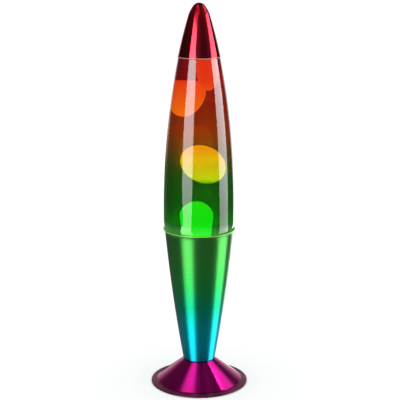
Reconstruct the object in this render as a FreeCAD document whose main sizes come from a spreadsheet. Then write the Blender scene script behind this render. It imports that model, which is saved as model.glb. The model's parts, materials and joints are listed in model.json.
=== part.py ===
import FreeCAD, Part
import math
import os
import Sketcher

# Liquid motion lamp: a tinted glass bottle of clear liquid and wax stands in a spun cone
# over a reflector bulb, on a cone-shaped foot, under a pointed cap.
# Millimetres, +Z up, origin on the table under the middle of the foot, front towards -Y.

# Driving sizes
SIZES = {
    # spun sheet of the foot, the cone and the cap
    "sheet": 1.0,
    "cap_sheet": 0.7,
    # foot
    "pad_proud": 0.6,
    "pad_radius": 5.0,
    "pad_inset": 13.6,
    "foot_radius": 53.6,
    "rim_height": 1.3,
    "rim_roll": 0.7,
    "flange_width": 5.2,
    "flange_rise": 0.8,
    "flare_width": 2.0,
    "flare_rise": 0.9,
    "flare_curve": 4.2,
    "foot_height": 26.8,
    "waist_radius": 17.4,
    "cover_thickness": 1.2,
    "cover_inset": 1.7,
    "inlet_radius": 3.2,
    "bush_wall": 1.2,
    "bush_lip": 1.4,
    # upper cone
    "cone_foot_radius": 17.9,
    "cone_edge": 2.6,
    "cone_curve": 1770.0,
    "lip_height": 5.4,
    "lip_flare": 2.3,
    "lip_curve": 9.0,
    # threaded tube, nuts and washers that clamp foot and cone together
    "tube_radius": 5.0,
    "tube_bore": 3.4,
    "tube_tail": 3.0,
    "nut_radius": 8.1,
    "nut_height": 4.0,
    "washer_radius": 9.0,
    "washer_thickness": 1.0,
    # lampholder
    "holder_base": 4.0,
    "wiring_space": 6.0,
    "insert_floor": 3.0,
    "insert_wall": 2.6,
    "holder_wall": 2.0,
    "socket_depth": 17.0,
    "shell_wall": 0.4,
    "shell_height": 13.0,
    "shell_lift": 2.6,
    "strip_thickness": 0.5,
    "strip_width": 4.0,
    "contact_height": 2.4,
    "terminal_radius": 1.2,
    "terminal_head": 2.1,
    "terminal_head_height": 1.5,
    # reflector bulb
    "bulb_length": 66.0,
    "bulb_radius": 19.5,
    "bulb_glass_wall": 0.8,
    "bulb_belly": 51.0,
    "bulb_cap_radius": 6.95,
    "bulb_cap_wall": 0.4,
    "bulb_cap_length": 20.0,
    "bulb_collar_radius": 8.6,
    "bulb_collar_length": 5.0,
    "bulb_neck_radius": 6.2,
    "bulb_flank_curve": 48.0,
    "bulb_tip_radius": 2.4,
    "bulb_tip_height": 1.6,
    "bulb_insulator_height": 2.4,
    "stem_height": 22.0,
    "stem_radius": 3.0,
    "lead_spread": 2.0,
    "lead_radius": 0.35,
    "lead_height": 9.0,
    "bulb_headroom": 13.6,
    # glass bottle
    "glass_wall": 2.6,
    "glass_base": 4.0,
    "bottle_foot_radius": 26.8,
    "bottle_corner": 4.0,
    "seat_depth": 42.9,
    "seat_radius": 35.4,
    "seat_drop": 16.0,
    "bottle_radius": 38.5,
    "belly_height": 9.0,
    "shoulder_height": 166.4,
    "shoulder_radius": 22.4,
    "neck_height": 16.0,
    "finish_height": 9.0,
    "finish_radius": 13.2,
    "bottle_bore": 9.0,
    "crown_sheet": 0.35,
    "crown_skirt": 5.5,
    "crown_flare": 1.2,
    "liner_thickness": 0.8,
    # wax and coil in the bottle
    "pool_depth": 16.0,
    "coil_ring_radius": 15.0,
    "coil_radius": 2.2,
    "column_shift": 2.2,
    "column_foot_radius": 17.5,
    "column_neck_radius": 11.0,
    "column_neck_height": 18.0,
    "column_radius": 13.8,
    "column_belly_height": 43.2,
    "column_shoulder_rise": 13.9,
    "column_shoulder_radius": 8.0,
    "column_crown": 3.3,
    "column_foot_curve": 30.0,
    "middle_wax_long": 22.0,
    "middle_wax_short": 18.0,
    "middle_wax_depth": 18.0,
    "middle_wax_rise": 53.3,
    "middle_wax_right": 3.4,
    "middle_wax_front": 6.0,
    "middle_wax_tilt": 51.0,
    "upper_wax_width": 14.4,
    "upper_wax_depth": 10.5,
    "upper_wax_tall": 24.0,
    "upper_wax_drop": 40.4,
    "upper_wax_flat": 13.6,
    "upper_wax_back": 7.5,
    "upper_wax_tilt": 9.0,
    "top_wax_width": 10.0,
    "top_wax_depth": 7.5,
    "top_wax_tall": 22.5,
    "top_wax_drop": 5.9,
    "top_wax_right": 7.0,
    "top_wax_front": 5.5,
    "top_wax_tilt": 4.0,
    # pointed cap
    "cap_bead": 1.4,
    "cap_side_height": 45.5,
    "cap_side_curve": 520.0,
    "cap_nose_radius": 11.1,
    "cap_nose_height": 8.2,
    "cap_nose_curve": 36.0,
    "cap_tip_radius": 6.6,
    "cap_tip_height": 3.6,
    # clearances
    "seat_gap": 0.6,
    "cap_gap": 0.3,
    "screw_gap": 0.3,
    "thread_gap": 0.05,
    "fill_gap": 0.05,
    "wax_gap": 0.3,
}

PAD_COUNT = 4
NUT_SIDES = 6
TWICE = 2
HALF = 0.5
LIP_ROUNDING = 0.6
FLANK_INSET = 0.6
FLANK_DROP = 0.75
QUARTER_TURN = 90
HALF_TURN = 180
FULL_TURN = 360
AXIS = 0

doc = FreeCAD.newDocument("liquid_motion_lamp")
sizes_sheet = doc.addObject("Spreadsheet::Sheet", "Sizes")


class Size:
    """A length kept both as a number and as the expression that binds it to the sheet."""

    def __init__(self, text, value):
        self.text = text
        self.value = value

    def __add__(self, other):
        return combine(self, "+", other)

    def __radd__(self, other):
        return combine(other, "+", self)

    def __sub__(self, other):
        return combine(self, "-", other)

    def __rsub__(self, other):
        return combine(other, "-", self)

    def __mul__(self, other):
        return combine(self, "*", other)

    def __rmul__(self, other):
        return combine(other, "*", self)

    def __truediv__(self, other):
        return combine(self, "/", other)

    def __neg__(self):
        return combine(0, "-", self)


def as_size(number):
    """A Size stays as it is, and a plain number becomes one."""
    if isinstance(number, Size):
        return number
    return Size(repr(number), number)


def combine(left, sign, right):
    """The Size that the sign makes of two others."""
    left = as_size(left)
    right = as_size(right)
    value = {
        "+": lambda: left.value + right.value,
        "-": lambda: left.value - right.value,
        "*": lambda: left.value * right.value,
        "/": lambda: left.value / right.value,
    }[sign]()
    return Size(f"({left.text} {sign} {right.text})", value)


class Sizes:
    """The driving sizes by name, each written once to its own cell of the sheet."""

    def __init__(self, numbers):
        for row, (name, number) in enumerate(numbers.items(), start=1):
            sizes_sheet.set(f"A{row}", name)
            sizes_sheet.set(f"B{row}", str(number))
            sizes_sheet.setAlias(f"B{row}", name)
            setattr(self, name, Size(f"Sizes.{name}", number))


d = Sizes(SIZES)
doc.recompute()


# Heights, from the table upwards
foot_bottom = d.pad_proud
flange_edge = foot_bottom + d.rim_height
flange_crease = flange_edge + d.flange_rise
flare_top = flange_crease + d.flare_rise
waist = d.foot_height
clamp_low = waist - d.sheet - d.washer_thickness
clamp_high = waist + d.sheet + d.washer_thickness
holder_bottom = clamp_high + d.nut_height
insert_bottom = holder_bottom + d.holder_base + d.wiring_space
socket_floor = insert_bottom + d.insert_floor
holder_top = socket_floor + d.socket_depth
bulb_bottom = socket_floor + d.contact_height + d.screw_gap
bulb_top = bulb_bottom + d.bulb_length
bottle_bottom = bulb_top + d.bulb_headroom
bottle_floor = bottle_bottom + d.glass_base
seat = bottle_bottom + d.seat_depth
lip = seat + d.lip_height
belly_low = seat + d.seat_drop
bottle_belly = belly_low + d.belly_height
shoulder = bottle_belly + d.shoulder_height
neck = shoulder + d.neck_height
bottle_top = neck + d.finish_height
pool_top = bottle_floor + d.pool_depth
cap_mouth_low = shoulder + d.cap_gap
cap_nose = shoulder + d.cap_side_height
cap_tip = cap_nose + d.cap_nose_height
cap_top = cap_tip + d.cap_tip_height

# Radii shared by pieces that fit each other
flange_inner = d.foot_radius - d.flange_width
flare_inner = flange_inner - d.flare_width
pad_circle = d.foot_radius - d.pad_inset
tube_hole = d.tube_radius + d.thread_gap
cone_mouth = d.seat_radius + d.seat_gap
lip_radius = cone_mouth + d.sheet + d.lip_flare
shell_inner = d.bulb_cap_radius + d.screw_gap
shell_outer = shell_inner + d.shell_wall
insert_inner = shell_outer + d.thread_gap
insert_radius = insert_inner + d.insert_wall
holder_inner = insert_radius + d.thread_gap
holder_radius = holder_inner + d.holder_wall
wiring_radius = holder_inner - d.holder_wall
terminal_spread = wiring_radius - d.terminal_head - d.screw_gap
bush_radius = d.inlet_radius + d.bush_wall
cap_mouth = d.shoulder_radius - d.cap_sheet


def tangent_curve(inward, along):
    """Radius of the arc that starts along a line and ends so far along it and so far inward."""
    return (inward * inward + along * along) / (inward * TWICE)


def crown_curve(radius, height):
    """Radius of a round crown, centred on the axis, of so wide a rim and so high."""
    return tangent_curve(height, radius)


seat_curve = tangent_curve(d.bottle_radius - d.seat_radius, d.seat_drop)
shoulder_curve = tangent_curve(d.bottle_radius - d.shoulder_radius, d.shoulder_height)


def origin_plane(body, role):
    """One of a body's own origin planes."""
    for feature in body.Origin.OriginFeatures:
        if feature.Role == role:
            return feature
    raise ValueError(role)


def arc_between(start, end, radius, side):
    """Arc of a radius from start to end, with its centre on the left (1) or right (-1) of the way."""
    chord = end - start
    half = chord.Length * HALF
    left = FreeCAD.Vector(-chord.y, chord.x, 0).normalize()
    rise = math.sqrt(max(radius * radius - half * half, 0))
    centre = (start + end) * HALF + left * (side * rise)
    first, last = (start, end) if side > 0 else (end, start)
    begin = math.atan2(first.y - centre.y, first.x - centre.x)
    finish = math.atan2(last.y - centre.y, last.x - centre.x)
    circle = Part.Circle(centre, FreeCAD.Vector(0, 0, 1), radius)
    return Part.ArcOfCircle(circle, begin, finish)


def draw_outline(body, name, points, role="XZ_Plane"):
    """Closed sketch on an origin plane through corners (across, up).

    A corner with a third and fourth entry starts an arc: its radius, and the side of its centre.
    """
    sketch = body.newObject("Sketcher::SketchObject", name)
    sketch.AttachmentSupport = [(origin_plane(body, role), "")]
    sketch.MapMode = "FlatFace"
    corners = [(as_size(point[0]), as_size(point[1])) for point in points]
    places = [FreeCAD.Vector(across.value, up.value, 0) for across, up in corners]
    heads = []
    tails = []
    arcs = []
    for index, point in enumerate(points):
        start = places[index]
        end = places[(index + 1) % len(points)]
        if len(point) > 2:
            radius = as_size(point[2])
            sketch.addGeometry(arc_between(start, end, radius.value, point[3]), False)
            heads.append(1 if point[3] > 0 else 2)
            tails.append(2 if point[3] > 0 else 1)
            arcs.append((index, radius))
        else:
            sketch.addGeometry(Part.LineSegment(start, end), False)
            heads.append(1)
            tails.append(2)
    constraints = []
    bindings = []

    def bind(kind, *where, size):
        bindings.append((len(constraints), size))
        constraints.append(Sketcher.Constraint(kind, *where, size.value))

    for index in range(len(points)):
        following = (index + 1) % len(points)
        constraints.append(
            Sketcher.Constraint("Coincident", index, tails[index], following, heads[following]))
    for index, (across, up) in enumerate(corners):
        if across.text == repr(AXIS):
            constraints.append(Sketcher.Constraint("PointOnObject", index, heads[index], -2))
        else:
            bind("DistanceX", -1, 1, index, heads[index], size=across)
        if up.text == repr(AXIS):
            constraints.append(Sketcher.Constraint("PointOnObject", index, heads[index], -1))
        else:
            bind("DistanceY", -1, 1, index, heads[index], size=up)
    for index, radius in arcs:
        bind("Radius", index, size=radius)
    sketch.addConstraint(constraints)
    for index, size in bindings:
        sketch.setExpression(f"Constraints[{index}]", size.text)
    return sketch


def add_turning(body, name, points, kind="PartDesign::Revolution", shift=None):
    """A full turn of an outline about the upright axis, which a shift moves along X."""
    sketch = draw_outline(body, name + "_outline", points)
    if shift is not None:
        sketch.setExpression(".AttachmentOffset.Base.x", shift.text)
    turning = body.newObject(kind, name)
    turning.Profile = sketch
    turning.ReferenceAxis = (sketch, ["V_Axis"])
    turning.Angle = FULL_TURN
    return turning


def turned(label, points):
    """A sub-part turned from one outline of radius and height."""
    body = doc.addObject("PartDesign::Body", label)
    body.Label = label
    add_turning(body, label + "_turning", points)
    return body


def ring_outline(inner, outer, low, high):
    """The outline of a plain ring or tube."""
    return [(inner, low), (outer, low), (outer, high), (inner, high)]


def disc_outline(radius, low, high):
    """The outline of a plain disc."""
    return [(AXIS, low), (radius, low), (radius, high), (AXIS, high)]


def move(item, x=None, y=None, z=None):
    """Bind an object's place to sizes."""
    for axis, size in (("x", x), ("y", y), ("z", z)):
        if size is not None:
            item.setExpression(f".Placement.Base.{axis}", as_size(size).text)
    return item


def turn(item, axis, angle_text):
    """Turn an object about an axis by an expression in degrees."""
    item.Placement = FreeCAD.Placement(FreeCAD.Vector(), FreeCAD.Rotation(FreeCAD.Vector(*axis), 1))
    item.setExpression(".Placement.Rotation.Angle", angle_text)
    return item


def primitive(kind, label, **lengths):
    """A primitive solid whose sizes are bound to the sheet."""
    item = doc.addObject(kind, label)
    for name, size in lengths.items():
        item.setExpression(name, as_size(size).text)
    return item


def cut(label, base, tool):
    """One solid cut by another."""
    item = doc.addObject("Part::Cut", label)
    item.Label = label
    item.Base = base
    item.Tool = tool
    return item


def group(label, members):
    """Separate solids that share one sub-part."""
    item = doc.addObject("Part::Compound", label)
    item.Label = label
    item.Links = members
    return item


# Foot

flank_rise = waist - flare_top
flank_run = flare_inner - d.waist_radius
flank_lean = f"-atan({flank_rise.text} / {flank_run.text})"
inlet_out = (flare_inner + d.waist_radius) * HALF
inlet_up = (flare_top + waist) * HALF
bush_length = d.sheet + d.bush_lip * TWICE
cover_bottom = flange_crease - d.sheet * HALF - d.cover_thickness


def on_flank(item):
    """Set an upright piece square to the sloping flank, at the back of the foot."""
    turn(item, (1, 0, 0), flank_lean)
    return move(item, y=inlet_out, z=inlet_up)


def make_foot_cone():
    """Spun foot: rolled rim, flange, short flare, straight flank, flat top, and a hole for the lead."""
    inner_rim = d.foot_radius - d.sheet
    shell = turned("foot_shell", [
        (d.foot_radius, foot_bottom),
        (d.foot_radius, flange_edge - d.rim_roll, d.rim_roll, 1),
        (d.foot_radius - d.rim_roll, flange_edge),
        (flange_inner, flange_crease, d.flare_curve, -1),
        (flare_inner, flare_top),
        (d.waist_radius, waist),
        (tube_hole, waist),
        (tube_hole, waist - d.sheet),
        (d.waist_radius - d.sheet * HALF, waist - d.sheet),
        (flare_inner - d.sheet * FLANK_INSET, flare_top - d.sheet * FLANK_DROP,
         d.flare_curve + d.sheet, 1),
        (flange_inner - d.sheet * HALF * HALF, flange_crease - d.sheet),
        (inner_rim, flange_edge - d.sheet),
        (inner_rim, foot_bottom),
    ])
    hole = primitive("Part::Cylinder", "inlet_hole",
                     Radius=bush_radius + d.thread_gap, Height=bush_length * TWICE)
    carrier = cut("foot_cone", shell, hole)
    turn(hole, (1, 0, 0), flank_lean)
    lean = f"atan({flank_rise.text} / {flank_run.text})"
    hole.setExpression(".Placement.Base.y", f"{inlet_out.text} - {bush_length.text} * sin({lean})")
    hole.setExpression(".Placement.Base.z", f"{inlet_up.text} - {bush_length.text} * cos({lean})")
    return carrier


def make_cord_grommet():
    """Soft bush that lines the hole for the lead, with a lip on each side of the sheet."""
    outer = bush_radius + d.bush_wall
    outside = d.bush_lip + d.fill_gap
    inside = -(d.sheet + d.bush_lip + d.sheet * HALF)
    inner_lip = -(d.sheet + d.sheet * HALF)
    bush = turned("cord_grommet", [
        (d.inlet_radius, inside),
        (outer, inside),
        (outer, inner_lip),
        (bush_radius, inner_lip),
        (bush_radius, d.fill_gap),
        (outer, d.fill_gap),
        (outer - d.bush_lip * HALF, outside),
        (d.inlet_radius, outside),
    ])
    return on_flank(bush)


def make_bottom_cover():
    """Disc pressed up inside the foot until it meets the underside of the flare."""
    return turned("bottom_cover", disc_outline(
        flange_inner - d.cover_inset, cover_bottom, cover_bottom + d.cover_thickness))


def make_foot_pads():
    """Rubber pads under the cover, which carry the lamp."""
    pads = []
    for index in range(PAD_COUNT):
        angle = math.radians(FULL_TURN * (index + HALF) / PAD_COUNT)
        pad = primitive("Part::Cone", f"pad_{index + 1}", Radius1=d.pad_radius - cover_bottom * HALF * HALF,
                        Radius2=d.pad_radius, Height=cover_bottom)
        pads.append(move(pad, x=pad_circle * math.cos(angle), y=pad_circle * math.sin(angle)))
    return group("foot_pads", pads)


# Clamp at the waist

def make_waist_tube():
    """Threaded hollow tube through the foot, the cone and the holder's base."""
    low = clamp_low - d.nut_height - d.tube_tail
    return turned("waist_tube", ring_outline(
        d.tube_bore, d.tube_radius, low, holder_bottom + d.holder_base))


def make_waist_nuts():
    """Hexagon nuts above and below the clamped sheets."""
    nuts = []
    for name, low in (("lower", clamp_low - d.nut_height), ("upper", clamp_high)):
        blank = primitive("Part::Prism", f"{name}_nut_blank", Circumradius=d.nut_radius,
                          Height=d.nut_height)
        blank.Polygon = NUT_SIDES
        hole = primitive("Part::Cylinder", f"{name}_nut_hole", Radius=tube_hole, Height=d.nut_height)
        nuts.append(cut(f"{name}_nut", move(blank, z=low), move(hole, z=low)))
    return group("waist_nuts", nuts)


def make_waist_washers():
    """Plain washers under the two nuts."""
    lower = turned("lower_washer", ring_outline(
        tube_hole, d.washer_radius, clamp_low, clamp_low + d.washer_thickness))
    upper = turned("upper_washer", ring_outline(
        tube_hole, d.washer_radius, clamp_high - d.washer_thickness, clamp_high))
    return group("waist_washers", [lower, upper])


# Upper cone

def make_upper_cone():
    """Spun cup that tapers down to the waist and flares out at its mouth."""
    lip_inner = lip_radius - d.sheet
    return turned("upper_cone", [
        (tube_hole, waist),
        (d.cone_foot_radius - d.cone_edge, waist, d.cone_edge, 1),
        (d.cone_foot_radius, waist + d.cone_edge, d.cone_curve, 1),
        (cone_mouth + d.sheet, seat, d.lip_curve, -1),
        (lip_radius, lip, d.sheet * LIP_ROUNDING, 1),
        (lip_inner, lip, d.lip_curve + d.sheet, 1),
        (cone_mouth, seat, d.cone_curve, -1),
        (d.cone_foot_radius - d.sheet, waist + d.cone_edge, d.cone_edge - d.sheet, -1),
        (d.cone_foot_radius - d.cone_edge, waist + d.sheet),
        (tube_hole, waist + d.sheet),
    ])


# Lampholder

def make_holder_cap():
    """Base of the lampholder, screwed on the threaded tube, with the wiring space above it."""
    return turned("holder_cap", [
        (tube_hole, holder_bottom),
        (holder_radius, holder_bottom),
        (holder_radius, insert_bottom),
        (wiring_radius, insert_bottom),
        (wiring_radius, holder_bottom + d.holder_base),
        (tube_hole, holder_bottom + d.holder_base),
    ])


def make_holder_insert():
    """Insulating cup that carries the contacts, with holes for the terminal screws."""
    body = turned("insert_cup", [
        (AXIS, insert_bottom),
        (insert_radius, insert_bottom),
        (insert_radius, holder_top - d.holder_wall),
        (insert_inner, holder_top - d.holder_wall),
        (insert_inner, socket_floor),
        (AXIS, socket_floor),
    ])
    holes = []
    for name, side in (("left", -1), ("right", 1)):
        hole = primitive("Part::Cylinder", f"{name}_terminal_hole",
                         Radius=d.terminal_radius + d.thread_gap, Height=d.insert_floor)
        holes.append(move(hole, x=terminal_spread * side, z=insert_bottom))
    return cut("holder_insert", body, group("terminal_holes", holes))


def make_holder_skirt():
    """Sleeve over the insert, with a lip that keeps it down."""
    return turned("holder_skirt", [
        (holder_inner, insert_bottom),
        (holder_radius, insert_bottom),
        (holder_radius, holder_top),
        (shell_outer, holder_top),
        (shell_outer, holder_top - d.holder_wall),
        (holder_inner, holder_top - d.holder_wall),
    ])


def make_screw_shell():
    """Brass sleeve that the bulb screws into."""
    low = socket_floor + d.shell_lift
    return turned("screw_shell", ring_outline(shell_inner, shell_outer, low, low + d.shell_height))


def make_centre_contact():
    """Bent brass strip under the tip of the bulb."""
    body = doc.addObject("PartDesign::Body", "centre_contact")
    body.Label = "centre_contact"
    far = shell_inner - d.strip_width * HALF
    near = d.bulb_tip_radius
    top = socket_floor + d.contact_height
    sketch = draw_outline(body, "strip_outline", [
        (-near, top - d.strip_thickness),
        (near, top - d.strip_thickness),
        (far - d.strip_thickness, socket_floor),
        (far + d.strip_thickness, socket_floor),
        (near + d.strip_thickness, top),
        (-near, top),
    ])
    strip = body.newObject("PartDesign::Pad", "strip")
    strip.Profile = sketch
    strip.Midplane = True
    strip.setExpression("Length", d.strip_width.text)
    return body


def make_terminal_screws():
    """Screws that hold the wires, up through the floor of the insert."""
    screws = []
    for name, side in (("left", -1), ("right", 1)):
        head = primitive("Part::Cylinder", f"{name}_terminal_head", Radius=d.terminal_head,
                         Height=d.terminal_head_height)
        shank = primitive("Part::Cylinder", f"{name}_terminal_shank", Radius=d.terminal_radius,
                          Height=d.insert_floor)
        move(head, x=terminal_spread * side, z=insert_bottom - d.terminal_head_height)
        move(shank, x=terminal_spread * side, z=insert_bottom)
        screw = doc.addObject("Part::Fuse", f"{name}_terminal")
        screw.Base = head
        screw.Tool = shank
        screws.append(screw)
    return group("terminal_screws", screws)


# Reflector bulb

bulb_insulator_bottom = bulb_bottom + d.bulb_tip_height
bulb_cap_bottom = bulb_insulator_bottom + d.bulb_insulator_height
bulb_collar_bottom = bulb_cap_bottom + d.bulb_cap_length - d.bulb_collar_length
bulb_glass_bottom = bulb_collar_bottom - d.bulb_collar_length
bulb_cap_top = bulb_cap_bottom + d.bulb_cap_length
bulb_belly = bulb_bottom + d.bulb_belly
stem_top = bulb_glass_bottom + d.stem_height


def make_bulb_tip():
    """Solder button at the bottom of the bulb."""
    return turned("bulb_tip", disc_outline(d.bulb_tip_radius, bulb_bottom, bulb_insulator_bottom))


def make_bulb_insulator():
    """Glass insulator between the button and the screw cap."""
    return turned("bulb_insulator", [
        (AXIS, bulb_insulator_bottom),
        (d.bulb_tip_radius, bulb_insulator_bottom),
        (d.bulb_cap_radius - d.bulb_cap_wall, bulb_cap_bottom),
        (AXIS, bulb_cap_bottom),
    ])


def make_bulb_cap():
    """Screw cap with a wider collar round the neck of the bulb."""
    wall = d.bulb_cap_wall
    return turned("bulb_cap", [
        (AXIS, bulb_cap_bottom),
        (d.bulb_cap_radius, bulb_cap_bottom),
        (d.bulb_cap_radius, bulb_collar_bottom),
        (d.bulb_collar_radius, bulb_collar_bottom + d.bulb_collar_length * HALF),
        (d.bulb_collar_radius, bulb_cap_top),
        (d.bulb_collar_radius - wall, bulb_cap_top),
        (d.bulb_collar_radius - wall, bulb_collar_bottom + d.bulb_collar_length * HALF + wall),
        (d.bulb_cap_radius - wall, bulb_collar_bottom + wall),
        (d.bulb_cap_radius - wall, bulb_cap_bottom + wall),
        (AXIS, bulb_cap_bottom + wall),
    ])


def make_bulb_glass():
    """Blown reflector envelope, open at the neck where the stem is sealed in."""
    wall = d.bulb_glass_wall
    throat = d.bulb_collar_radius - d.bulb_cap_wall - d.screw_gap
    dome = bulb_top - bulb_belly
    inner_radius = d.bulb_radius - wall
    return turned("bulb_glass", [
        (d.bulb_neck_radius - wall, bulb_glass_bottom),
        (d.bulb_neck_radius, bulb_glass_bottom),
        (d.bulb_neck_radius, bulb_collar_bottom),
        (throat, bulb_cap_top, d.bulb_flank_curve, 1),
        (d.bulb_radius, bulb_belly, crown_curve(d.bulb_radius, dome), 1),
        (AXIS, bulb_top),
        (AXIS, bulb_top - wall, crown_curve(inner_radius, dome - wall), -1),
        (inner_radius, bulb_belly, d.bulb_flank_curve, -1),
        (throat - wall, bulb_cap_top),
        (d.bulb_neck_radius - wall, bulb_collar_bottom + wall),
    ])


def make_bulb_stem():
    """Glass stem that seals the neck and carries the lead wires."""
    flare = d.bulb_neck_radius - d.bulb_glass_wall - d.fill_gap
    return turned("bulb_stem", [
        (AXIS, bulb_glass_bottom),
        (flare, bulb_glass_bottom),
        (flare, bulb_glass_bottom + d.bulb_glass_wall),
        (d.stem_radius, bulb_collar_bottom),
        (d.stem_radius, stem_top),
        (AXIS, stem_top),
    ])


def make_bulb_leads():
    """Lead wires from the stem up to the filament."""
    leads = []
    for name, side in (("left", -1), ("right", 1)):
        lead = primitive("Part::Cylinder", f"{name}_lead", Radius=d.lead_radius, Height=d.lead_height)
        leads.append(move(lead, x=d.lead_spread * side, z=stem_top))
    return group("bulb_leads", leads)


def make_bulb_filament():
    """Arched filament between the tops of the lead wires."""
    arch = primitive("Part::Torus", "bulb_filament", Radius1=d.lead_spread, Radius2=d.lead_radius)
    arch.Label = "bulb_filament"
    arch.Angle3 = HALF_TURN
    turn(arch, (1, 0, 0), str(QUARTER_TURN))
    return move(arch, z=stem_top + d.lead_height)


# Glass bottle

def taper_radius(height):
    """Inner radius of the bottle between its floor and its seat."""
    share = (height - bottle_floor) / (seat - bottle_floor)
    low = d.bottle_foot_radius - d.glass_wall
    return low + (d.seat_radius - d.bottle_foot_radius) * share


def make_globe_glass():
    """Tinted bottle: tapered foot in the cone, long shoulder, ledge for the cap, and a hidden neck."""
    wall = d.glass_wall
    return turned("globe_glass", [
        (AXIS, bottle_bottom),
        (d.bottle_foot_radius - d.bottle_corner, bottle_bottom, d.bottle_corner, 1),
        (d.bottle_foot_radius, bottle_bottom + d.bottle_corner),
        (d.seat_radius, seat, seat_curve, 1),
        (d.bottle_radius, belly_low),
        (d.bottle_radius, bottle_belly, shoulder_curve, 1),
        (d.shoulder_radius, shoulder),
        (cap_mouth - d.cap_gap, shoulder),
        (d.finish_radius, neck),
        (d.finish_radius, bottle_top),
        (d.bottle_bore, bottle_top),
        (d.bottle_bore, neck),
        (d.shoulder_radius - wall, shoulder, shoulder_curve, -1),
        (d.bottle_radius - wall, bottle_belly),
        (d.bottle_radius - wall, belly_low, seat_curve, -1),
        (d.seat_radius - wall, seat),
        (d.bottle_foot_radius - wall, bottle_floor),
        (AXIS, bottle_floor),
    ])


def make_crown_liner():
    """Sealing disc on the mouth of the bottle."""
    return turned("crown_liner", disc_outline(d.finish_radius, bottle_top, bottle_top + d.liner_thickness))


def make_crown_closure():
    """Crimped steel closure over the liner."""
    inner = d.finish_radius + d.fill_gap
    low = bottle_top + d.liner_thickness
    high = low + d.crown_sheet
    skirt = high - d.crown_skirt
    return turned("crown_closure", [
        (AXIS, low),
        (inner, low),
        (inner + d.crown_flare, skirt),
        (inner + d.crown_flare + d.crown_sheet, skirt),
        (inner + d.crown_sheet, high),
        (AXIS, high),
    ])


# Wax, coil and liquid

coil_room = d.coil_radius + d.fill_gap
pool_bottom = bottle_floor + d.fill_gap


def column_outline(grow):
    """Wax column that rises from the pool to a round head, grown all round for its cavity."""
    foot = pool_top - d.coil_radius
    belly = pool_top + d.column_belly_height
    shoulder_rise = d.column_shoulder_rise + grow
    return [
        (AXIS, foot),
        (d.column_foot_radius + grow, foot, d.column_foot_curve, -1),
        (d.column_neck_radius + grow, pool_top + d.column_neck_height),
        (d.column_radius + grow, belly,
         tangent_curve(d.column_radius - d.column_shoulder_radius, shoulder_rise), 1),
        (d.column_shoulder_radius + grow, belly + shoulder_rise,
         crown_curve(d.column_shoulder_radius + grow, d.column_crown), 1),
        (AXIS, belly + shoulder_rise + d.column_crown),
    ]


def make_wax_pool():
    """Wax that lies on the floor of the bottle round the coil, with a column rising out of it."""
    body = turned("wax_pool", [
        (AXIS, pool_bottom),
        (d.coil_ring_radius - coil_room, pool_bottom),
        (d.coil_ring_radius - coil_room, pool_bottom + coil_room * TWICE),
        (d.coil_ring_radius + coil_room, pool_bottom + coil_room * TWICE),
        (d.coil_ring_radius + coil_room, pool_bottom),
        (taper_radius(pool_bottom) - d.fill_gap, pool_bottom),
        (taper_radius(pool_top) - d.fill_gap, pool_top),
        (AXIS, pool_top),
    ])
    add_turning(body, "wax_column", column_outline(0), shift=-d.column_shift)
    return body


def make_heat_coil():
    """Steel coil that lies in a ring on the floor of the bottle."""
    coil = primitive("Part::Torus", "heat_coil", Radius1=d.coil_ring_radius, Radius2=d.coil_radius)
    coil.Label = "heat_coil"
    return move(coil, z=pool_bottom + d.coil_radius)


def middle_wax(label, grow):
    """Rounded lump of wax, longer towards the lower right, near the middle of the bottle."""
    lump = primitive("Part::Ellipsoid", label, Radius1=d.middle_wax_short + grow,
                     Radius2=d.middle_wax_long + grow, Radius3=d.middle_wax_depth + grow)
    turn(lump, (0, 1, 0), d.middle_wax_tilt.text)
    return move(lump, x=d.middle_wax_right, y=-d.middle_wax_front,
                z=bottle_belly + d.middle_wax_rise)


def upper_wax(label, grow):
    """Flat-topped lump of wax against the left wall, leaning with the wall."""
    height = shoulder - d.upper_wax_drop
    drop = height - bottle_belly
    wall = d.bottle_radius - drop * drop / (shoulder_curve * TWICE) - d.glass_wall
    reach = d.upper_wax_width * TWICE
    lump = primitive("Part::Ellipsoid", label + "_round", Radius1=d.upper_wax_tall + grow,
                     Radius2=d.upper_wax_width + grow, Radius3=d.upper_wax_depth + grow)
    turn(lump, (0, 1, 0), d.upper_wax_tilt.text)
    centre = wall - d.upper_wax_width - d.wax_gap * TWICE - d.sheet * TWICE
    move(lump, x=-centre, y=d.upper_wax_back, z=height)
    above = primitive("Part::Box", label + "_above", Length=reach * TWICE, Width=reach * TWICE,
                      Height=d.upper_wax_tall)
    move(above, x=-(centre + reach), y=d.upper_wax_back - reach, z=height + d.upper_wax_flat + grow)
    return cut(label, lump, above)


def top_wax(label, grow):
    """Long drop of wax that hangs at the front and leans to the neck."""
    lump = primitive("Part::Ellipsoid", label, Radius1=d.top_wax_tall + grow,
                     Radius2=d.top_wax_width + grow, Radius3=d.top_wax_depth + grow)
    turn(lump, (0, 1, 0), (-d.top_wax_tilt).text)
    return move(lump, x=d.top_wax_right, y=-d.top_wax_front,
                z=neck - d.top_wax_drop - d.top_wax_tall)


WAX_LUMPS = {
    "wax_middle": middle_wax,
    "wax_upper": upper_wax,
    "wax_top": top_wax,
}


def make_wax_lumps():
    """The lumps of wax that float in the liquid."""
    lumps = []
    for label, shape in WAX_LUMPS.items():
        lump = shape(label, 0)
        lump.Label = label
        lumps.append(lump)
    return lumps


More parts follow.
